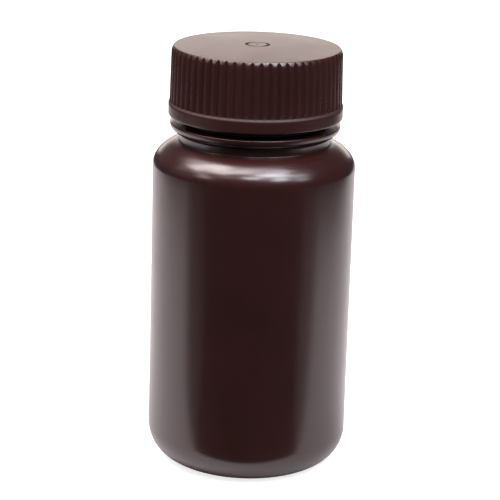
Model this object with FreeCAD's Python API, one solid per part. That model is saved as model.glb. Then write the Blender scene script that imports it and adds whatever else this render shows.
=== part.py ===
import FreeCAD, Part
import math
import os

# Wide-mouth storage bottle with a ribbed screw cap and a loose sealing disc.
# Millimetres, +Z up. The origin is the centre of the ring that the bottle stands on.

os.makedirs("parts", exist_ok=True)

# Bottle body
body_diameter = 50.0
body_height = 75.9          # floor to the top of the straight side
wall = 1.3
heel_radius = 8.5
foot_width = 1.0            # flat ring that touches the floor
pushup_height = 2.4         # how far the base is domed up inside the foot
pushup_slope = 38.0         # degrees, where the dome leaves the foot

# Shoulder and neck
shoulder_rise = 6.3         # straight side to the foot of the neck
shoulder_slope = 19.6       # degrees, where the shoulder meets the neck
shoulder_fullness = 0.877   # weight of the curve's corner: 1 is squarer
neck_fillet = 0.2
neck_height = 1.95          # shoulder to the underside of the bead
neck_step = 1.5             # neck stands out from the threaded finish
bead_reach = 2.15           # bead stands out from the neck
bead_height = 2.5
bead_under_slope = 25.0     # degrees, the underside rises outwards from the neck
bead_lower_round = 1.9
bead_upper_round = 0.15

# Mouth and finish, the straight part that carries the thread
mouth_bore = 31.0
finish_wall = 1.8
finish_height = 16.15        # bead to rim
rim_round = 0.5

# Thread, the same helix on the bottle and in the cap
thread_pitch = 4.23
thread_depth = 1.3
thread_root_width = 2.3
thread_crest_width = 1.1
thread_turns = 1.5
thread_below_rim = 2.2
thread_fade = 30.0          # degrees over which each end runs out
thread_end_share = 0.15     # share of its depth that the thread keeps at its very end
thread_clearance = 0.3      # between a crest and the wall that it faces

# Screw cap
cap_top_thickness = 1.6
cap_crown = 0.5             # the top is slightly domed
cap_wall = 1.4              # bore to the bottom of the grooves
cap_edge_round = 0.25       # tight corner at the edge of the top
cap_edge_turn = 38.0        # degrees above level, where that corner runs into the fuller round below it
cap_shoulder_round = 2.6
cap_shoulder_end = 10.0     # degrees above level, where the fuller round meets the ribs
skirt_gap = 1.75             # cap's lower edge to the bead
skirt_flare = 0.3           # the skirt widens downwards by this much
rib_count = 62
rib_depth = 0.55
rib_crest = 0.3             # share of a rib's pitch that its crest is flat
rib_floor = 0.06            # share that its groove is flat
flange_height = 3.4
flange_lip = 0.25           # flange stands out from the ribs
flange_chamfer = 0.45       # height of the slope on top of the lip
flange_round = 0.3
cap_thread_turns = 1.25
cap_thread_inset = 3.1      # cap's lower edge to the start of its thread
cap_thread_root_width = 1.7
cap_thread_crest_width = 0.8
gate_ring_diameter = 5.35
gate_ring_width = 0.7
gate_ring_depth = 0.2
gate_dimple_diameter = 0.9
gate_dimple_depth = 0.15

# Sealing disc
disc_thickness = 1.0
disc_clearance = 0.35       # disc's edge to the cap's bore

# Radii that follow
body_r = body_diameter / 2
mouth_r = mouth_bore / 2
finish_r = mouth_r + finish_wall
neck_r = finish_r + neck_step
bead_r = neck_r + bead_reach
crest_r = finish_r + thread_depth
cap_bore_r = crest_r + thread_clearance
groove_r = cap_bore_r + cap_wall
rib_r = groove_r + rib_depth
flange_r = rib_r + skirt_flare + flange_lip
disc_r = cap_bore_r - disc_clearance

# Heights that follow
neck_z = body_height + shoulder_rise
bead_z = neck_z + neck_height
bead_top_z = bead_z + bead_height
rim_z = bead_top_z + finish_height
thread_start_z = rim_z - thread_below_rim - thread_turns * thread_pitch
ceiling_z = rim_z + disc_thickness
cap_z = bead_top_z + skirt_gap
cap_top_z = ceiling_z + cap_top_thickness
flange_top_z = cap_z + flange_height

# How far a cut runs past the material that it removes, how deep a ridge is rooted in its wall,
# and how many sections shape one turn of it
overrun = 1.0
root_bite = 0.3
sections_per_turn = 24

AXIS = FreeCAD.Vector(0, 0, 1)
ORIGIN = FreeCAD.Vector(0, 0, 0)


def at(r, z):
    """A point of an outline, at radius r and height z."""
    return FreeCAD.Vector(r, 0, z)


def line(start, end):
    return Part.makeLine(at(*start), at(*end))


def arc(centre, radius, start_angle, end_angle):
    """A round corner about centre, from one angle to the other, in degrees."""
    def on_circle(angle):
        turn = math.radians(angle)
        return at(centre[0] + radius * math.cos(turn), centre[1] + radius * math.sin(turn))

    middle = (start_angle + end_angle) / 2
    return Part.Arc(on_circle(start_angle), on_circle(middle), on_circle(end_angle)).toShape()


def conic(start, corner, end, weight):
    """A smooth curve that leaves start towards corner and arrives at end from it."""
    curve = Part.BezierCurve()
    curve.setPoles([at(*start), at(*corner), at(*end)])
    curve.setWeight(2, weight)
    return curve.toShape()


def turned(edges):
    """The solid that a closed outline makes when it is turned about the axis."""
    face = Part.Face(Part.Wire(edges))
    solid = face.revolve(ORIGIN, AXIS, 360)
    return Part.Solid(solid) if solid.ShapeType == "Shell" else solid


def base_outline(skin):
    """Axis to the straight side, with skin 0 for the outside and the wall for the inside."""
    foot_r = body_r - heel_radius
    rise = math.tan(math.radians(pushup_slope))
    shift = skin * math.tan(math.radians(pushup_slope / 2))
    dome_r = foot_r - foot_width - shift
    corner_r = dome_r - pushup_height / rise
    dome = conic((0, pushup_height + skin), (corner_r, pushup_height + skin), (dome_r, skin), 1.0)
    foot = line((dome_r, skin), (foot_r, skin))
    heel = arc((foot_r, heel_radius), heel_radius - skin, -90, 0)
    return [dome, foot, heel]


def shoulder_outline(skin, end_r, end_z):
    """Top of the straight side to the end of the shoulder."""
    side_r = body_r - skin
    corner_z = end_z - math.tan(math.radians(shoulder_slope)) * (side_r - end_r)
    side = line((side_r, heel_radius), (side_r, body_height))
    curve = conic((side_r, body_height), (side_r, corner_z), (end_r, end_z), shoulder_fullness)
    return [side, curve]


def neck_outline():
    """Shoulder to the rim on the outside: fillet, neck, bead and finish."""
    slope = math.radians(shoulder_slope)
    tangent = neck_fillet * math.tan((math.pi / 2 - slope) / 2)
    fillet_start = (neck_r + tangent * math.cos(slope), neck_z - tangent * math.sin(slope))
    fillet = arc((neck_r + neck_fillet, neck_z + tangent), neck_fillet, 270 - shoulder_slope, 180)
    under = math.radians(bead_under_slope)
    low = bead_lower_round
    high = bead_upper_round
    round_r = bead_r - low * (1 - math.sin(under))
    round_z = bead_z + (round_r - neck_r) * math.tan(under)
    side_z = round_z + low * math.cos(under)
    edges = [
        fillet,
        line((neck_r, neck_z + tangent), (neck_r, bead_z)),
        line((neck_r, bead_z), (round_r, round_z)),
        arc((bead_r - low, side_z), low, bead_under_slope - 90, 0),
        line((bead_r, side_z), (bead_r, bead_top_z - high)),
        arc((bead_r - high, bead_top_z - high), high, 0, 90),
        line((bead_r - high, bead_top_z), (finish_r, bead_top_z)),
        line((finish_r, bead_top_z), (finish_r, rim_z - rim_round)),
        arc((finish_r - rim_round, rim_z - rim_round), rim_round, 0, 90),
        line((finish_r - rim_round, rim_z), (mouth_r + rim_round, rim_z)),
        arc((mouth_r + rim_round, rim_z - rim_round), rim_round, 90, 180),
    ]
    return fillet_start, edges


def helix_angle(z):
    """Angle at which the middle of the bottle's thread passes height z."""
    return 2 * math.pi * (z - thread_start_z) / thread_pitch


def thread_ridge(start_z, turns, offset, wall_r, tip_r, root_width, crest_width):
    """A ridge along the helix, from wall_r to tip_r, whose two ends fade into the wall."""
    start = helix_angle(start_z + offset)
    steps = round(turns * sections_per_turn)
    outward = 1 if tip_r > wall_r else -1
    sections = []
    for step in range(steps + 1):
        swept = 2 * math.pi * turns * step / steps
        left = min(swept, 2 * math.pi * turns - swept)
        share = min(1.0, left / math.radians(thread_fade))
        eased = share * share * (3 - 2 * share)
        height = thread_end_share + (1 - thread_end_share) * eased
        tip = wall_r + (tip_r - wall_r) * height
        foot = wall_r - outward * root_bite
        z = start_z + thread_pitch * swept / (2 * math.pi)
        corners = [(foot, z - root_width / 2), (tip, z - crest_width / 2),
                   (tip, z + crest_width / 2), (foot, z + root_width / 2)]
        turn = start + swept
        points = [FreeCAD.Vector(r * math.cos(turn), r * math.sin(turn), h) for r, h in corners]
        sections.append(Part.makePolygon(points + points[:1]))
    return Part.makeLoft(sections, True, False)


def make_bottle():
    """One blown shell: domed base, heel, straight side, shoulder, neck, bead and thread."""
    fillet_start, neck = neck_outline()
    slope = math.radians(shoulder_slope)
    inner_neck_z = neck_z + math.tan(slope) * (neck_r - mouth_r) - wall / math.cos(slope)
    outside = base_outline(0) + shoulder_outline(0, *fillet_start) + neck
    inside = base_outline(wall) + shoulder_outline(wall, mouth_r, inner_neck_z)
    bore = line((mouth_r, inner_neck_z), (mouth_r, rim_z - rim_round))
    axis = line((0, pushup_height), (0, pushup_height + wall))
    shell = turned(Part.__sortEdges__(outside + inside + [bore, axis]))
    ridge = thread_ridge(thread_start_z, thread_turns, 0, finish_r, crest_r,
                         thread_root_width, thread_crest_width)
    return shell.fuse(ridge).removeSplitter()


def rib_section(crest, z):
    """The skirt's ribbed outline at one height, as a closed polygon with a crest at the front."""
    pitch = 2 * math.pi / rib_count
    points = []
    for rib in range(rib_count):
        middle = rib * pitch - math.pi / 2
        for share, radius in ((-0.5 + rib_floor / 2, crest - rib_depth), (-rib_crest / 2, crest),
                              (rib_crest / 2, crest), (0.5 - rib_floor / 2, crest - rib_depth)):
            turn = middle + share * pitch
            points.append(FreeCAD.Vector(radius * math.cos(turn), radius * math.sin(turn), z))
    return Part.makePolygon(points + points[:1])


def cap_envelope():
    """The round outside of the cap: domed top, rounded edge and the taper of the skirt."""
    edge_turn = math.radians(cap_edge_turn)
    shoulder_end = math.radians(cap_shoulder_end)
    shoulder_r = rib_r - cap_shoulder_round * math.cos(shoulder_end)
    edge_r = shoulder_r + (cap_shoulder_round - cap_edge_round) * math.cos(edge_turn)
    edge_z = cap_top_z - cap_edge_round
    shoulder_z = edge_z - (cap_shoulder_round - cap_edge_round) * math.sin(edge_turn)
    rib_top_z = shoulder_z + cap_shoulder_round * math.sin(shoulder_end)
    crown_r = (edge_r ** 2 + cap_crown ** 2) / (2 * cap_crown)
    crown_z = cap_top_z + cap_crown
    half_turn = math.asin(edge_r / crown_r) / 2
    crown_middle = at(crown_r * math.sin(half_turn), crown_z - crown_r * (1 - math.cos(half_turn)))
    crown = Part.Arc(at(0, crown_z), crown_middle, at(edge_r, cap_top_z)).toShape()
    low_r = rib_r + skirt_flare
    return turned([
        crown,
        arc((edge_r, edge_z), cap_edge_round, 90, cap_edge_turn),
        arc((shoulder_r, shoulder_z), cap_shoulder_round, cap_edge_turn, cap_shoulder_end),
        line((rib_r, rib_top_z), (low_r, flange_top_z)),
        line((low_r, flange_top_z), (low_r, cap_z)),
        line((low_r, cap_z), (0, cap_z)),
        line((0, cap_z), (0, crown_z)),
    ])


def make_flange():
    """The plain band round the foot of the skirt, rounded at its lower edge."""
    top_r = flange_r - flange_lip
    return turned([
        line((cap_bore_r, cap_z), (flange_r - flange_round, cap_z)),
        arc((flange_r - flange_round, cap_z + flange_round), flange_round, -90, 0),
        line((flange_r, cap_z + flange_round), (flange_r, flange_top_z - flange_chamfer)),
        line((flange_r, flange_top_z - flange_chamfer), (top_r, flange_top_z)),
        line((top_r, flange_top_z), (cap_bore_r, flange_top_z)),
        line((cap_bore_r, flange_top_z), (cap_bore_r, cap_z)),
    ])


def gate_mark():
    """What the moulding gate leaves on the top: a fine ring and a dimple at its centre."""
    crown_z = cap_top_z + cap_crown
    ring_r = (gate_ring_diameter + gate_ring_width) / 2
    outer = Part.makeCylinder(ring_r, gate_ring_depth + overrun, at(0, crown_z - gate_ring_depth))
    inner = Part.makeCylinder(ring_r - gate_ring_width, gate_ring_depth + overrun,
                              at(0, crown_z - gate_ring_depth))
    dimple = Part.makeCylinder(gate_dimple_diameter / 2, gate_dimple_depth + overrun,
                               at(0, crown_z - gate_dimple_depth))
    return outer.cut(inner).fuse(dimple)


def make_cap():
    """One moulding: ribbed skirt, flange, domed top and an inside thread."""
    skirt = Part.makeLoft([rib_section(rib_r + skirt_flare, cap_z + flange_chamfer),
                           rib_section(rib_r, cap_top_z + cap_crown)], True, True)
    body = skirt.common(cap_envelope()).fuse(make_flange())
    hollow = Part.makeCylinder(cap_bore_r, ceiling_z - cap_z + overrun, at(0, cap_z - overrun))
    body = body.cut(hollow).cut(gate_mark())
    tip_r = finish_r + thread_clearance
    ridge = thread_ridge(cap_z + cap_thread_inset, cap_thread_turns, thread_pitch / 2, cap_bore_r,
                         tip_r, cap_thread_root_width, cap_thread_crest_width)
    return body.fuse(ridge)


def make_disc():
    """A flat disc of foam, pressed between the rim and the cap's ceiling."""
    return Part.makeCylinder(disc_r, disc_thickness, at(0, rim_z))


pieces = {"bottle": make_bottle(), "sealing_disc": make_disc(), "screw_cap": make_cap()}
for name, shape in pieces.items():
    shape.exportStep("parts/" + name + ".step")
    box = shape.BoundBox
    print(name, len(shape.Solids), "solid", shape.isValid(), round(shape.Volume / 1000, 3), "ml",
          round(box.XLength, 2), round(box.ZMin, 2), round(box.ZMax, 2))
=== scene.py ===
import bpy
import math
from mathutils import Matrix, Vector


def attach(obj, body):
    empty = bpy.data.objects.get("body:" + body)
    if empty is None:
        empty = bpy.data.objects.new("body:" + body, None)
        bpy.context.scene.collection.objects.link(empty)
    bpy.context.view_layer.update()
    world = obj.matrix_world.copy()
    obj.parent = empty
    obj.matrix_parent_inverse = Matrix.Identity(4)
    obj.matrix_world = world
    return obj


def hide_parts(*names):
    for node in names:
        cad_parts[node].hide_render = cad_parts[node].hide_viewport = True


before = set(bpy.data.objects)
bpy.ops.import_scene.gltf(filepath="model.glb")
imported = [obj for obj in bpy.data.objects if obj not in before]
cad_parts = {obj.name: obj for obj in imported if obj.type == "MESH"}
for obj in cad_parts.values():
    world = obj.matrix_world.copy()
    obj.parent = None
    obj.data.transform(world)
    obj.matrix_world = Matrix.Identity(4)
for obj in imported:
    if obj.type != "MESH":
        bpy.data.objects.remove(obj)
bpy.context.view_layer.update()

# The bottle is one hollow piece of dark brown polyethylene with a satin skin.
# A hot tube of plastic was blown against a mould in two halves, so a fine parting line runs up
# each side, and a pinch-off line crosses the base where the tube was nipped.

MM = 0.001
body_radius = 25.0 * MM
body_top = 75.9 * MM             # floor to the top of the straight side
wall = 1.3 * MM
heel_radius = 8.5 * MM
foot_width = 1.0 * MM            # flat ring that touches the floor
pushup_height = 2.4 * MM         # how far the base is domed up inside the foot
pushup_slope = 38.0              # degrees, where the dome leaves the foot
shoulder_rise = 6.3 * MM
shoulder_slope = 19.6            # degrees, where the shoulder meets the neck
shoulder_fullness = 0.877        # weight of the curve's corner: 1 is squarer
neck_fillet = 0.2 * MM
neck_height = 1.95 * MM
neck_step = 1.5 * MM             # neck stands out from the threaded finish
bead_reach = 2.15 * MM
bead_height = 2.5 * MM
bead_under_slope = 25.0          # degrees, the underside rises outwards from the neck
bead_lower_round = 1.9 * MM
bead_upper_round = 0.15 * MM
small_round = 0.3 * MM           # corners that the mould leaves nearly sharp
mouth_radius = 15.5 * MM
finish_wall = 1.8 * MM
finish_height = 16.15 * MM       # bead to rim
rim_round = 0.5 * MM
thread_pitch = 4.23 * MM
thread_depth = 1.3 * MM
thread_root = 2.3 * MM           # width of the thread where it stands on the wall
thread_crest = 1.1 * MM
thread_turns = 1.5
thread_below_rim = 2.2 * MM
thread_fade = 30.0               # degrees over which each end runs out
parting_height = 0.03 * MM
parting_width = 0.45 * MM
pinch_height = 0.35 * MM
pinch_width = 0.9 * MM
pinch_reach = 11.0 * MM          # half the length of the line across the base
bottle_columns = 192
column_crowding = 0.8            # columns crowd towards the parting line on each side
thread_rows = 0.1 * MM           # spacing of the rows that carry the thread
weld = 0.002 * MM                # points nearer than this are one point
bottle_brown = (0.0210, 0.0056, 0.0052, 1)
bottle_streaks = (0.0179, 0.0048, 0.0044, 1)
bottle_roughness = 0.24
bottle_grain = 0.2               # share of the full height of the grain
bottle_sharp_angle = 70          # degrees
streak_scale = 60.0              # of the noise, for each metre, as are the next two
patch_scale = 120.0
grain_scale = 2500.0
grain_height = 0.02 * MM
gloss_range = 0.08               # how far the roughness varies from patch to patch
plastic_ior = 1.53

finish_radius = mouth_radius + finish_wall
neck_radius = finish_radius + neck_step
bead_radius = neck_radius + bead_reach
neck_z = body_top + shoulder_rise
bead_z = neck_z + neck_height
bead_top = bead_z + bead_height
rim_z = bead_top + finish_height
thread_start = rim_z - thread_below_rim - thread_turns * thread_pitch


def line_steps(start, end, steps):
    """Points of an outline, as radius and height, from start to end, with both its ends."""
    return [tuple(a + (b - a) * i / steps for a, b in zip(start, end)) for i in range(steps + 1)]


def line(start, end, spacing=2.5 * MM):
    """Points from start towards end, about evenly spaced, without end itself."""
    return line_steps(start, end, max(1, round(math.dist(start, end) / spacing)))[:-1]


def arc(centre, radius, start, end, steps):
    """Points of a round corner, from one angle to another in degrees, with both its ends."""
    turns = [math.radians(start + (end - start) * i / steps) for i in range(steps + 1)]
    return [(centre[0] + radius * math.cos(t), centre[1] + radius * math.sin(t)) for t in turns]


def conic(start, corner, end, weight, steps):
    """Points of a curve that leaves start towards corner and comes to end from it."""
    points = []
    for i in range(steps + 1):
        t = i / steps
        shares = ((1 - t) ** 2, 2 * weight * t * (1 - t), t ** 2)
        total = sum(shares)
        points.append(tuple(sum(share * p[k] for share, p in zip(shares, (start, corner, end))) / total
                            for k in (0, 1)))
    return points


def base_and_side(skin):
    """Axis to the top of the straight side: skin is 0 outside and the wall inside."""
    slope = math.radians(pushup_slope)
    foot_radius = body_radius - heel_radius
    dome_radius = foot_radius - foot_width - skin * math.tan(slope / 2)
    corner = (dome_radius - pushup_height / math.tan(slope), pushup_height + skin)
    dome = conic((0, pushup_height + skin), corner, (dome_radius, skin), 1.0, 20)
    heel = arc((foot_radius, heel_radius), heel_radius - skin, -90, 0, 20)
    side = line(heel[-1], (body_radius - skin, body_top))
    return dome + heel + side[1:]


def shoulder(skin, end):
    """Top of the straight side to the end of the shoulder."""
    side = (body_radius - skin, body_top)
    corner = (side[0], end[1] - math.tan(math.radians(shoulder_slope)) * (side[0] - end[0]))
    return conic(side, corner, end, shoulder_fullness, 24)


def bottle_outline():
    """The wall's outline: from the axis up the outside to the rim and back down the inside."""
    slope = math.radians(shoulder_slope)
    tangent = neck_fillet * math.tan((math.pi / 2 - slope) / 2)
    fillet = arc((neck_radius + neck_fillet, neck_z + tangent), neck_fillet, 270 - shoulder_slope, 180, 8)
    low, high, tiny = bead_lower_round, bead_upper_round, small_round
    under = math.radians(bead_under_slope)
    round_radius = bead_radius - low * (1 - math.sin(under))
    round_z = bead_z + (round_radius - neck_radius) * math.tan(under)
    outside = base_and_side(0) + shoulder(0, fillet[0]) + fillet[1:]
    outside += [(neck_radius, bead_z - tiny), (neck_radius + 0.3 * tiny, bead_z)]
    outside += arc((bead_radius - low, round_z + low * math.cos(under)), low, bead_under_slope - 90, 0, 14)
    outside += arc((bead_radius - high, bead_top - high), high, 0, 90, 6)
    outside += arc((finish_radius + tiny, bead_top + tiny), tiny, 270, 180, 4)
    finish = line(outside[-1], (finish_radius, rim_z - rim_round), thread_rows)
    rim = arc((finish_radius - rim_round, rim_z - rim_round), rim_round, 0, 90, 6)
    rim += arc((mouth_radius + rim_round, rim_z - rim_round), rim_round, 90, 180, 6)
    inner_z = neck_z + math.tan(slope) * (neck_radius - mouth_radius) - wall / math.cos(slope)
    inside = base_and_side(wall) + shoulder(wall, (mouth_radius, inner_z))
    bore = line(rim[-1], inside[-1])
    return outside + finish[1:] + rim + bore[1:] + inside[::-1]


class Wire:
    """What comes out of a node. Sums and products of wires add the Math nodes that they need."""

    def __init__(self, tree, socket=None):
        self.tree = tree
        self.socket = socket

    def node(self, kind, inputs=None, output=0, **settings):
        """Adds a node, makes its settings, sets or links its inputs and gives one output."""
        made = self.tree.nodes.new(kind)
        for name, value in settings.items():
            setattr(made, name, value)
        for name, value in (inputs or {}).items():
            if isinstance(value, Wire):
                self.tree.links.new(value.socket, made.inputs[name])
            else:
                made.inputs[name].default_value = value
        return Wire(self.tree, made.outputs[output])

    def math(self, operation, *values):
        return self.node("ShaderNodeMath", dict(enumerate(values)), operation=operation)

    def __add__(self, other):
        return self.math("ADD", self, other)

    def __sub__(self, other):
        return self.math("SUBTRACT", self, other)

    def __rsub__(self, other):
        return self.math("SUBTRACT", other, self)

    def __mul__(self, other):
        return self.math("MULTIPLY", self, other)

    def __truediv__(self, other):
        return self.math("DIVIDE", self, other)

    def __pow__(self, other):
        return self.math("POWER", self, other)

    def __abs__(self):
        return self.math("ABSOLUTE", self)

    __radd__ = __add__
    __rmul__ = __mul__

    def eased(self, start, end):
        """0 before start, 1 past end, and a smooth rise or fall between them."""
        inputs = {"Value": self, "From Min": start, "From Max": end}
        return self.node("ShaderNodeMapRange", inputs, interpolation_type="SMOOTHSTEP")

    def parts(self):
        """The x, y and z of a vector."""
        made = self.node("ShaderNodeSeparateXYZ", {0: self}).socket.node
        return [Wire(self.tree, socket) for socket in made.outputs]


def wound_ridge(x, y, z, start, first_turn, turns, root, crest):
    """How high a thread stands at a point, from 0 to 1: it winds up from start at first_turn."""
    angle = y.math("ARCTAN2", y, x) / math.tau - first_turn
    climbed = (z - start) / thread_pitch
    swept = angle + (climbed - angle).math("ROUND", climbed - angle)
    beside = abs(climbed - swept) * thread_pitch
    left = swept.math("MINIMUM", swept, turns - swept)
    return beside.eased(root / 2, crest / 2) * left.eased(0.0, thread_fade / 360)


def new_tree(name, sizes):
    """A tree of nodes with a geometry input, named sizes and a material."""
    tree = bpy.data.node_groups.new(name, "GeometryNodeTree")
    tree.interface.new_socket("Geometry", in_out="OUTPUT", socket_type="NodeSocketGeometry")
    tree.interface.new_socket("Geometry", in_out="INPUT", socket_type="NodeSocketGeometry")
    for size, kind in sizes.items():
        tree.interface.new_socket(size, in_out="INPUT", socket_type="NodeSocket" + kind)
    tree.interface.new_socket("Material", in_out="INPUT", socket_type="NodeSocketMaterial")
    entry = tree.nodes.new("NodeGroupInput")
    return {socket.name: Wire(tree, socket) for socket in entry.outputs if socket.name}


def end_tree(made, material):
    """Ends a tree: the instances are made real and get their material."""
    real = made.node("GeometryNodeRealizeInstances", {"Geometry": made})
    painted = real.node("GeometryNodeSetMaterial", {"Geometry": real, "Material": material})
    leave = made.tree.nodes.new("NodeGroupOutput")
    made.tree.links.new(painted.socket, leave.inputs[0])
    return made.tree


def moved(made, offset_x, offset_y, offset_z):
    """Moves every point of a geometry by the three offsets."""
    offset = made.node("ShaderNodeCombineXYZ", {0: offset_x, 1: offset_y, 2: offset_z})
    return made.node("GeometryNodeSetPosition", {"Geometry": made, "Offset": offset})


def turned(entry, crowding=0.0):
    """Turns a chain of edges about the axis. Crowding draws its columns towards the x axis."""
    geometry, points, columns = entry["Geometry"], entry["Outline Points"], entry["Columns"]
    position = geometry.node("GeometryNodeInputPosition")
    index = geometry.node("GeometryNodeInputIndex")
    grid = geometry.node("GeometryNodeMeshGrid", {"Vertices X": points, "Vertices Y": columns + 1})
    row = index.math("FLOOR", index / (columns + 1))
    turn = (index - row * (columns + 1)) * math.tau / columns
    turn = turn - (turn * 2).math("SINE", turn * 2) * crowding / 2
    place = geometry.node("GeometryNodeSampleIndex", {"Geometry": geometry, "Value": position, "Index": row},
                          data_type="FLOAT_VECTOR")
    swung = geometry.node("ShaderNodeVectorRotate", {"Vector": place, "Angle": turn},
                          rotation_type="Z_AXIS")
    made = geometry.node("GeometryNodeSetPosition", {"Geometry": grid, "Position": swung})
    made = geometry.node("GeometryNodeFlipFaces", {"Mesh": made})
    return geometry.node("GeometryNodeMergeByDistance", {"Geometry": made, "Distance": weld})


def finished(piece, name, sharp_angle):
    """Swaps the modifier for its plain mesh, shaded smooth but for its sharp corners."""
    graph = bpy.context.evaluated_depsgraph_get()
    mesh = bpy.data.meshes.new_from_object(piece.evaluated_get(graph))
    mesh.name = name
    mesh.shade_smooth()
    mesh.set_sharp_from_angle(angle=math.radians(sharp_angle))
    piece.modifiers.clear()
    piece.data = mesh
    return piece


def grown(name, mesh, tree, values, sharp_angle=40):
    """A piece that a tree makes from a mesh, with the tree's sizes set by their identifiers."""
    piece = bpy.data.objects.new(name, mesh)
    bpy.context.scene.collection.objects.link(piece)
    modifier = piece.modifiers.new(name, "NODES")
    modifier.node_group = tree
    for socket in tree.interface.items_tree:
        if socket.name in values:
            modifier[socket.identifier] = values[socket.name]
    return finished(piece, name, sharp_angle)


def chain(name, outline):
    """A mesh of edges through an outline's points, less those that lie on each other."""
    points = [outline[0]] + [q for p, q in zip(outline, outline[1:]) if math.dist(p, q) > 0.001 * MM]
    mesh = bpy.data.meshes.new(name)
    mesh.from_pydata([(r, 0, z) for r, z in points], [(i, i + 1) for i in range(len(points) - 1)], [])
    return mesh


def bottle_tree():
    """The outline turned, then the parting line, pinch-off line and thread raised from it."""
    entry = new_tree("turned_bottle", {"Outline Points": "Int", "Columns": "Int"})
    made = turned(entry, column_crowding)
    x, y, z = made.node("GeometryNodeInputPosition").parts()
    radius = ((x ** 2) + (y ** 2)) ** 0.5
    # Above the bead only the outside of the finish is wider than the middle of its wall
    on_finish = radius.eased(mouth_radius + 0.6 * finish_wall, finish_radius)
    above = z.eased(bead_top, bead_top + small_round)
    below = z.eased(rim_z, rim_z - rim_round)
    ridge = wound_ridge(x, y, z, thread_start, 0.0, thread_turns, thread_root, thread_crest)
    raised = ridge * on_finish * above * below * thread_depth
    # The skin lies back from the parting line, which keeps the bottle's full width
    on_skin = radius.eased(body_radius - 0.9 * wall, body_radius - 0.1 * wall)
    seam = abs(y).eased(parting_width / 2, 0.1 * parting_width)
    raised = raised - (1 - seam) * on_skin * parting_height
    share = raised / radius.math("MAXIMUM", radius, MM)
    # The nip runs along the x axis under the dome of the base
    under = z.eased(pushup_height + 0.5 * wall, pushup_height + 0.2 * wall)
    nip = abs(y).eased(pinch_width / 2, 0.2 * pinch_width) * abs(x).eased(pinch_reach, pinch_reach - MM)
    made = moved(made, x * share, y * share, nip * under * -pinch_height)
    return end_tree(made, entry["Material"])


def plastic(name, colour, dark, roughness, grain, rougher=None):
    """A moulded plastic: faint streaks of pigment, fine grain and patches of lower gloss."""
    material = bpy.data.materials.new(name)
    material.use_nodes = True
    shader = material.node_tree.nodes["Principled BSDF"]
    wire = Wire(material.node_tree)
    place = wire.node("ShaderNodeTexCoord", output="Object")
    streaks = wire.node("ShaderNodeTexNoise", {"Vector": place, "Scale": streak_scale, "Detail": 4.0})
    patches = wire.node("ShaderNodeTexNoise", {"Vector": place, "Scale": patch_scale, "Detail": 3.0})
    specks = wire.node("ShaderNodeTexNoise", {"Vector": place, "Scale": grain_scale, "Detail": 2.0})
    tint = wire.node("ShaderNodeMix", {0: streaks.eased(0.35, 0.65), 6: dark, 7: colour},
                     output=2, data_type="RGBA")
    bump = wire.node("ShaderNodeBump", {"Height": specks, "Strength": grain, "Distance": grain_height})
    links = material.node_tree.links
    links.new(tint.socket, shader.inputs["Base Color"])
    rough = roughness + (patches - 0.5) * gloss_range
    if rougher:
        rough = rough + rougher(*place.parts())
    links.new(rough.socket, shader.inputs["Roughness"])
    links.new(bump.socket, shader.inputs["Normal"])
    shader.inputs["IOR"].default_value = plastic_ior
    return material


bottle_plastic = plastic("brown_polyethylene", bottle_brown, bottle_streaks, bottle_roughness, bottle_grain)
bottle_chain = chain("bottle_outline", bottle_outline())
bottle = grown("blown_bottle", bottle_chain, bottle_tree(),
               {"Outline Points": len(bottle_chain.vertices), "Columns": bottle_columns,
                "Material": bottle_plastic}, bottle_sharp_angle)
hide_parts("bottle")
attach(bottle, "bottle_body")

# The sealing disc is a loose washer cut from a sheet of off-white closed-cell polyethylene foam.
# It lies in the cap's ceiling, and the rim that it seals has pressed a faint ring into its face.

disc_thickness = 1.0 * MM
disc_clearance = 0.35 * MM       # disc's edge to the cap's bore
disc_edge_round = 0.2 * MM
imprint_depth = 0.08 * MM
thread_clearance = 0.3 * MM      # between a crest and the wall that it faces
disc_columns = 128
foam_white = (0.78, 0.77, 0.73, 1)
foam_yellowed = (0.72, 0.70, 0.63, 1)
foam_roughness = 0.55
foam_patch_scale = 150.0
cell_scale = 2200.0
cell_height = 0.05 * MM

cap_bore = finish_radius + thread_depth + thread_clearance
disc_radius = cap_bore - disc_clearance
ceiling_z = rim_z + disc_thickness


def disc_outline():
    """The disc's outline from the middle of its lower face round its edge to its upper face."""
    edge = disc_edge_round
    points = line((0, rim_z), (mouth_radius - edge, rim_z))
    points += [(mouth_radius - edge, rim_z), (mouth_radius + edge, rim_z + imprint_depth),
               (finish_radius - edge, rim_z + imprint_depth), (finish_radius + edge, rim_z)]
    points += arc((disc_radius - edge, rim_z + edge), edge, -90, 0, 5)
    points += arc((disc_radius - edge, ceiling_z - edge), edge, 0, 90, 5)
    return points + line(points[-1], (0, ceiling_z)) + [(0, ceiling_z)]


def disc_tree():
    """The disc's outline turned about the axis."""
    entry = new_tree("turned_disc", {"Outline Points": "Int", "Columns": "Int"})
    return end_tree(turned(entry), entry["Material"])


def foam(name):
    """Closed-cell foam: fine cells under a matt skin, with slightly yellowed patches."""
    material = bpy.data.materials.new(name)
    material.use_nodes = True
    shader = material.node_tree.nodes["Principled BSDF"]
    wire = Wire(material.node_tree)
    place = wire.node("ShaderNodeTexCoord", output="Object")
    cells = wire.node("ShaderNodeTexVoronoi", {"Vector": place, "Scale": cell_scale})
    patches = wire.node("ShaderNodeTexNoise", {"Vector": place, "Scale": foam_patch_scale, "Detail": 3.0})
    tint = wire.node("ShaderNodeMix", {0: patches.eased(0.4, 0.7), 6: foam_white, 7: foam_yellowed},
                     output=2, data_type="RGBA")
    bump = wire.node("ShaderNodeBump", {"Height": cells, "Strength": 0.4, "Distance": cell_height})
    rough = foam_roughness + 0.15 * patches
    links = material.node_tree.links
    links.new(tint.socket, shader.inputs["Base Color"])
    links.new(rough.socket, shader.inputs["Roughness"])
    links.new(bump.socket, shader.inputs["Normal"])
    return material


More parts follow.
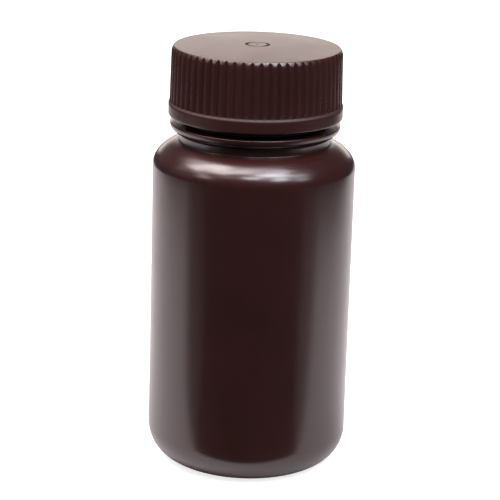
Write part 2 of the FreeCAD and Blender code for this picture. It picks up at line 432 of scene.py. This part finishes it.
disc_chain = chain("disc_outline", disc_outline())
disc = grown("foam_disc", disc_chain, disc_tree(),
             {"Outline Points": len(disc_chain.vertices), "Columns": disc_columns,
              "Material": foam("closed_cell_foam")})
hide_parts("sealing_disc")
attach(disc, "disc_body")

# The screw cap is one injection-moulded piece of dark brown polypropylene.
# Its skirt is ribbed for grip above a plain flange, a single right-hand thread is wound inside it,
# and the gate through which the mould was filled has left a ring and a dimple on its domed top.

cap_top_thickness = 1.6 * MM
cap_crown = 0.5 * MM
cap_wall = 1.4 * MM
cap_edge_round = 0.25 * MM       # tight corner at the edge of the top
cap_edge_turn = 38.0             # degrees, where that corner runs into the fuller round below it
cap_shoulder_round = 2.6 * MM
cap_shoulder_end = 10.0          # degrees, where the round meets a rib's crest
skirt_gap = 1.75 * MM
skirt_flare = 0.3 * MM
rib_count = 62
rib_depth = 0.55 * MM
rib_crest = 0.3                  # share of a rib's pitch that its crest is flat
rib_floor = 0.06                 # share that its groove is flat
flange_height = 3.4 * MM
flange_lip = 0.25 * MM
flange_chamfer = 0.45 * MM       # height of the slope on top of the lip
flange_round = 0.3 * MM
cap_thread_turns = 1.25
cap_thread_inset = 3.1 * MM
cap_thread_root = 1.7 * MM
cap_thread_crest = 0.8 * MM
gate_ring_radius = 2.675 * MM
gate_ring_width = 0.9 * MM
gate_ring_depth = 0.4 * MM
gate_ring_steps = 12
gate_dimple_radius = 0.45 * MM
gate_dimple_depth = 0.15 * MM
cap_brown = (0.0240, 0.0066, 0.0058, 1)
cap_streaks = (0.0204, 0.0056, 0.0049, 1)
cap_roughness = 0.28
cap_grain = 0.25
top_matting = 0.12               # how much rougher than the skirt the top is
gate_matting = 0.5               # the same for the ring that the gate leaves
lip_matting = 0.35               # the same for the slope on top of the flange's lip

groove_radius = cap_bore + cap_wall
rib_radius = groove_radius + rib_depth
flange_radius = rib_radius + skirt_flare + flange_lip
cap_z = bead_top + skirt_gap
cap_top = ceiling_z + cap_top_thickness
flange_top = cap_z + flange_height
edge_turn, shoulder_end = math.radians(cap_edge_turn), math.radians(cap_shoulder_end)
shoulder_centre = rib_radius - cap_shoulder_round * math.cos(shoulder_end)
top_radius = shoulder_centre + (cap_shoulder_round - cap_edge_round) * math.cos(edge_turn)
crown_radius = (top_radius ** 2 + cap_crown ** 2) / (2 * cap_crown)


def crown_height(radius):
    """Height of the slightly domed top at a radius."""
    return cap_top + cap_crown - crown_radius + math.sqrt(crown_radius ** 2 - radius ** 2)


def top_outline():
    """The top from its centre to where the edge starts to round, with the gate's marks."""
    points = [(0, crown_height(0) - gate_dimple_depth)]
    points += [(gate_dimple_radius * 0.7, crown_height(0) - gate_dimple_depth * 0.8),
               (gate_dimple_radius, crown_height(gate_dimple_radius))]
    points += [(r, crown_height(r)) for r in (1.2 * MM, 1.8 * MM)]
    for i in range(gate_ring_steps + 1):
        across = i / gate_ring_steps
        r = gate_ring_radius + gate_ring_width * (across - 0.5)
        points.append((r, crown_height(r) - gate_ring_depth * math.sin(math.pi * across)))
    beyond_ring = gate_ring_radius + gate_ring_width * 0.5 + 0.5 * MM
    return points + [(r, crown_height(r)) for r, _ in line((beyond_ring, 0), (top_radius, 0), 1.4 * MM)]


def rib_height(share):
    """Height of a rib from 0 in the groove to 1 on the crest, at a share of the pitch."""
    side = (1 - rib_crest - rib_floor) / 2
    return min(1.0, max(0.0, (0.5 - rib_floor / 2 - abs(share)) / side))


def cap_edge(end_radius, steps):
    """The rounded edge of the top, down to where it meets a rib's side at a radius."""
    joint = top_radius + cap_edge_round * math.cos(edge_turn)
    if end_radius < joint:
        end = math.acos((end_radius - top_radius) / cap_edge_round)
    else:
        end = math.acos((end_radius - shoulder_centre) / cap_shoulder_round)
    points = []
    for i in range(steps + 1):
        turn = math.pi / 2 + (end - math.pi / 2) * i / steps
        over = max(0.0, edge_turn - turn)
        bend = max(turn, edge_turn)
        r = top_radius + cap_edge_round * math.cos(bend)
        z = cap_top - cap_edge_round * (1 - math.sin(bend))
        if over:
            r += cap_shoulder_round * (math.cos(turn) - math.cos(edge_turn))
            z -= cap_shoulder_round * (math.sin(edge_turn) - math.sin(turn))
        points.append((r, z))
    return points


def rib_column(share):
    """The cap's outline at a share of one rib's pitch, from the centre of the top to the ceiling."""
    upper = rib_radius - rib_depth * (1 - rib_height(share))
    lower = upper + skirt_flare
    points = top_outline() + cap_edge(upper, 12)
    points += line_steps(points[-1], (lower, flange_top), 10)[1:]
    points += line_steps(points[-1], (flange_radius - flange_lip, flange_top), 2)[1:]
    points += line_steps(points[-1], (flange_radius, flange_top - flange_chamfer), 3)[1:]
    points += line_steps(points[-1], (flange_radius, cap_z + flange_round), 5)[1:]
    points += arc((flange_radius - flange_round, cap_z + flange_round), flange_round, 0, -90, 8)[1:]
    points += line_steps(points[-1], (cap_bore, cap_z), 4)[1:]
    points += line_steps(points[-1], (cap_bore, ceiling_z), 64)[1:]
    points += line_steps(points[-1], (0, ceiling_z), 8)[1:]
    return points


def rib_sector():
    """The slice of the cap that holds one rib, with columns where its crest and grooves begin."""
    pitch = math.tau / rib_count
    crest, side = rib_crest / 2, (1 - rib_floor) / 2
    shares = [0.0, crest, (crest + side) / 2, side, 0.5]
    shares = [-share for share in shares[:0:-1]] + shares
    columns = len(shares) - 1
    points = []
    for share in shares:
        outline = rib_column(share)
        turn = share * pitch
        points += [(r * math.cos(turn), r * math.sin(turn), z) for r, z in outline]
    rows = len(points) // (columns + 1)
    faces = []
    for i in range(columns):
        for j in range(rows - 1):
            a = i * rows + j
            faces.append((a, a + 1, a + 1 + rows, a + rows))
    mesh = bpy.data.meshes.new("rib_sector")
    mesh.from_pydata(points, [], faces)
    return mesh


def cap_tree():
    """One rib's slice repeated all round from the front and joined, with the thread wound inside."""
    entry = new_tree("ribs_all_round", {"Ribs": "Int"})
    geometry, ribs = entry["Geometry"], entry["Ribs"]
    index = geometry.node("GeometryNodeInputIndex")
    turn = geometry.node("ShaderNodeCombineXYZ", {2: index * math.tau / ribs - math.pi / 2})
    points = geometry.node("GeometryNodePoints", {"Count": ribs})
    made = geometry.node("GeometryNodeInstanceOnPoints",
                         {"Points": points, "Instance": geometry, "Rotation": turn})
    made = made.node("GeometryNodeRealizeInstances", {"Geometry": made})
    made = made.node("GeometryNodeMergeByDistance", {"Geometry": made, "Distance": weld})
    x, y, z = made.node("GeometryNodeInputPosition").parts()
    radius = ((x ** 2) + (y ** 2)) ** 0.5
    # Only the bore between the skirt's end and the ceiling carries the thread
    near, fade = 0.1 * MM, 0.4 * MM
    on_bore = radius.eased(cap_bore + near, cap_bore) * z.eased(cap_z + near, cap_z + fade)
    on_bore = on_bore * radius.eased(cap_bore - near, cap_bore) * z.eased(ceiling_z, ceiling_z - fade)
    # It runs half a pitch above the bottle's thread, so that one slides along the other
    start = cap_z + cap_thread_inset
    first_turn = (start + thread_pitch / 2 - thread_start) / thread_pitch
    ridge = wound_ridge(x, y, z, start, first_turn, cap_thread_turns, cap_thread_root, cap_thread_crest)
    depth = cap_bore - finish_radius - thread_clearance
    inward = ridge * on_bore * -depth / cap_bore
    made = moved(made, x * inward, y * inward, 0.0)
    return end_tree(made, entry["Material"])


def cap_matting(x, y, z):
    """How much rougher than the skirt the top, the gate's ring and the flange's lip are."""
    radius = ((x ** 2) + (y ** 2)) ** 0.5
    ring = abs(radius - gate_ring_radius).eased(gate_ring_width / 2, gate_ring_width / 3)
    slope = flange_top - flange_chamfer
    lip = z.eased(slope - 0.1 * MM, slope) * z.eased(flange_top + 0.2 * MM, flange_top)
    on_top = z.eased(cap_top - 0.5 * MM, cap_top)
    return on_top * (ring * gate_matting + top_matting) + lip * lip_matting


cap_plastic = plastic("brown_polypropylene", cap_brown, cap_streaks, cap_roughness, cap_grain, cap_matting)
cap = grown("ribbed_cap", rib_sector(), cap_tree(), {"Ribs": rib_count, "Material": cap_plastic})
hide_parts("screw_cap")
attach(cap, "cap_body")

# The bottle stands on a pale floor in a plain studio. What shines in its satin skin is pale paper
# under it and behind it, and soft boxes above it, to its left, right and rear, each with its own slight tint.
# Just in front of it, on both sides, the paper gives way to darker sheets that only reflections see:
# painted shade, standing in for the floor's shade in front of it. The room is dim.

lamp_distance = 1.0              # metres from the middle of the bottle
lamp_target = Vector((0, 0, 60 * MM))
floor_reach = 4.0
floor_colour = (0.6, 0.6, 0.6)
floor_glow = 0.8
paper_z = -0.1 * MM
paper_colour = (0.60, 0.585, 0.585)
# The two darker colours are painted shade: sheets for the floor's shade in front of the bottle
left_painted_shade_colour = (0.12, 0.115, 0.115)
right_painted_shade_colour = (0.16, 0.155, 0.155)
paper_corners = ((-0.29, -0.071), (-0.196, -0.060), (-0.093, -0.040), (-0.03, -0.031), (0.03, -0.031),
                 (0.090, -0.041), (0.184, -0.055), (0.25, -0.064), (0.26, 0.55), (-0.14, 0.55), (-0.29, 0.20))
# Painted shade: the darker sheets that stand for the shaded floor in front, on each side
left_painted_shade_corners = ((-0.29, -0.19), (-0.13, -0.110), (-0.05, -0.045), (-0.03, -0.031), (-0.093, -0.040),
                       (-0.196, -0.060), (-0.29, -0.071))
right_painted_shade_corners = ((0.25, -0.15), (0.13, -0.095), (0.05, -0.045), (0.03, -0.031), (0.090, -0.041),
                        (0.184, -0.055), (0.25, -0.064))
room_glow = 0.070
left_tint = (1.000, 0.889, 0.885)
right_tint = (0.933, 0.935, 1.000)
top_tint = (1.000, 0.911, 0.936)
behind_tint = (1.000, 0.901, 0.831)
overhead_tint = (1.000, 0.895, 0.900)


def soft_box(name, azimuth, elevation, width, height, power, tint):
    """A rectangular lamp that faces the bottle: azimuth 0 is in front of it, 90 on its right."""
    around, rise = math.radians(azimuth), math.radians(elevation)
    away = Vector((math.sin(around) * math.cos(rise), -math.cos(around) * math.cos(rise), math.sin(rise)))
    data = bpy.data.lights.new(name, "AREA")
    data.shape = "RECTANGLE"
    data.size, data.size_y = width, height
    data.energy = power
    data.color = tint
    lamp = bpy.data.objects.new(name, data)
    lamp.location = lamp_target + away * lamp_distance
    lamp.rotation_euler = away.to_track_quat("Z", "Y").to_euler()
    lamp.visible_camera = False
    bpy.context.scene.collection.objects.link(lamp)


def sheet(name, corners, z, colour, glow=0.0):
    """A flat, matt sheet that lies at one height."""
    mesh = bpy.data.meshes.new(name)
    mesh.from_pydata([(x, y, z) for x, y in corners], [], [tuple(range(len(corners)))])
    piece = bpy.data.objects.new(name, mesh)
    bpy.context.scene.collection.objects.link(piece)
    material = bpy.data.materials.new(name)
    material.use_nodes = True
    shader = material.node_tree.nodes["Principled BSDF"]
    shader.inputs["Base Color"].default_value = (*colour, 1)
    shader.inputs["Roughness"].default_value = 0.9
    shader.inputs["Specular IOR Level"].default_value = 0.0
    shader.inputs["Emission Color"].default_value = (1, 1, 1, 1)
    shader.inputs["Emission Strength"].default_value = glow
    mesh.materials.append(material)
    return piece


floor_corners = [(x * floor_reach, y * floor_reach) for x, y in ((-1, -1), (1, -1), (1, 1), (-1, 1))]
floor = sheet("floor", floor_corners, 0, floor_colour, floor_glow)
paper = sheet("paper", paper_corners, paper_z, paper_colour)
# Sheets of painted shade, darker than the paper, just in front of it on both sides
left_painted_shade = sheet("left_painted_shade", left_painted_shade_corners, paper_z, left_painted_shade_colour)
right_painted_shade = sheet("right_painted_shade", right_painted_shade_corners, paper_z, right_painted_shade_colour)
# The camera sees the floor, and everything else sees the paper and the sheets of painted shade
for ray in ("diffuse", "glossy", "transmission", "shadow"):
    setattr(floor, "visible_" + ray, False)
for piece in (paper, left_painted_shade, right_painted_shade):
    piece.visible_camera = False

soft_box("left_far", -122, 54, 0.30, 0.30, 1.09, left_tint)
soft_box("left_rear", -97, 52, 0.30, 0.30, 3.88, left_tint)
soft_box("left_high", -100, 69, 0.30, 0.30, 4.50, left_tint)
soft_box("left_key", -76, 44, 0.30, 0.30, 1.09, left_tint)
soft_box("left_inner", -62, 62, 0.30, 0.30, 4.25, left_tint)
soft_box("left_low", -62, 30, 0.24, 0.24, 1.00, left_tint)
soft_box("left_front", -38, 46, 0.24, 0.24, 0.45, left_tint)
soft_box("left_side", -98, 32, 0.24, 0.24, 0.25, left_tint)
soft_box("middle", -30, 74, 0.26, 0.26, 2.70, left_tint)
soft_box("middle_low", -2, 50, 0.28, 0.18, 3.00, top_tint)
soft_box("right_inner", 22, 64, 0.27, 0.26, 4.44, right_tint)
soft_box("right_key", 46, 59, 0.27, 0.26, 3.84, right_tint)
soft_box("right_low", 35, 42, 0.27, 0.26, 3.79, right_tint)
soft_box("right_high", 68, 72, 0.27, 0.26, 2.42, right_tint)
soft_box("right_outer", 66, 47, 0.27, 0.26, 1.43, right_tint)
soft_box("right_side", 60, 31, 0.22, 0.22, 1.00, right_tint)
soft_box("right_rear", 88, 55, 0.24, 0.24, 0.12, right_tint)
soft_box("behind_low", 180, 20, 0.50, 0.20, 1.07, behind_tint)
soft_box("backdrop", 180, 6, 0.90, 0.14, 1.30, behind_tint)
soft_box("overhead", 0, 86, 0.30, 0.30, 2.00, overhead_tint)
soft_box("left_card", -90, 16, 0.60, 0.30, 0.12, left_tint)
soft_box("left_back", -135, 18, 0.60, 0.40, 0.08, left_tint)

world = bpy.data.worlds.new("room")
bpy.context.scene.world = world
world.use_nodes = True
room = Wire(world.node_tree)
to_camera = room.node("ShaderNodeLightPath")
glow = to_camera * (1 - room_glow) + room_glow
world.node_tree.links.new(glow.socket, world.node_tree.nodes["Background"].inputs["Strength"])
world.node_tree.nodes["Background"].inputs["Color"].default_value = (1, 1, 1, 1)

# The camera stands half a metre away, straight in front and above the cap, and looks down at the
# bottle through a long lens. It leans very slightly.

camera_place = (0.0, -0.486152, 0.197316)
camera_yaw = -0.041              # degrees
camera_pitch = -16.442
camera_roll = 1.722
camera_lens = 146.18             # millimetres, as is the sensor's width
camera_sensor = 36.0
camera_data = bpy.data.cameras.new("camera")
camera_data.lens = camera_lens
camera_data.sensor_width = camera_sensor
camera_data.clip_start = 0.01
camera = bpy.data.objects.new("camera", camera_data)
yaw, pitch, roll = (math.radians(a) for a in (camera_yaw, camera_pitch, camera_roll))
forward = Vector((math.sin(yaw) * math.cos(pitch), math.cos(yaw) * math.cos(pitch), math.sin(pitch)))
level = forward.cross(Vector((0, 0, 1))).normalized()
upright = level.cross(forward)
right = level * math.cos(roll) + upright * math.sin(roll)
up = upright * math.cos(roll) - level * math.sin(roll)
camera.matrix_world = Matrix((right, up, -forward)).transposed().to_4x4()
camera.location = camera_place
bpy.context.scene.collection.objects.link(camera)
bpy.context.scene.camera = camera
bpy.context.scene.view_settings.view_transform = "Standard"
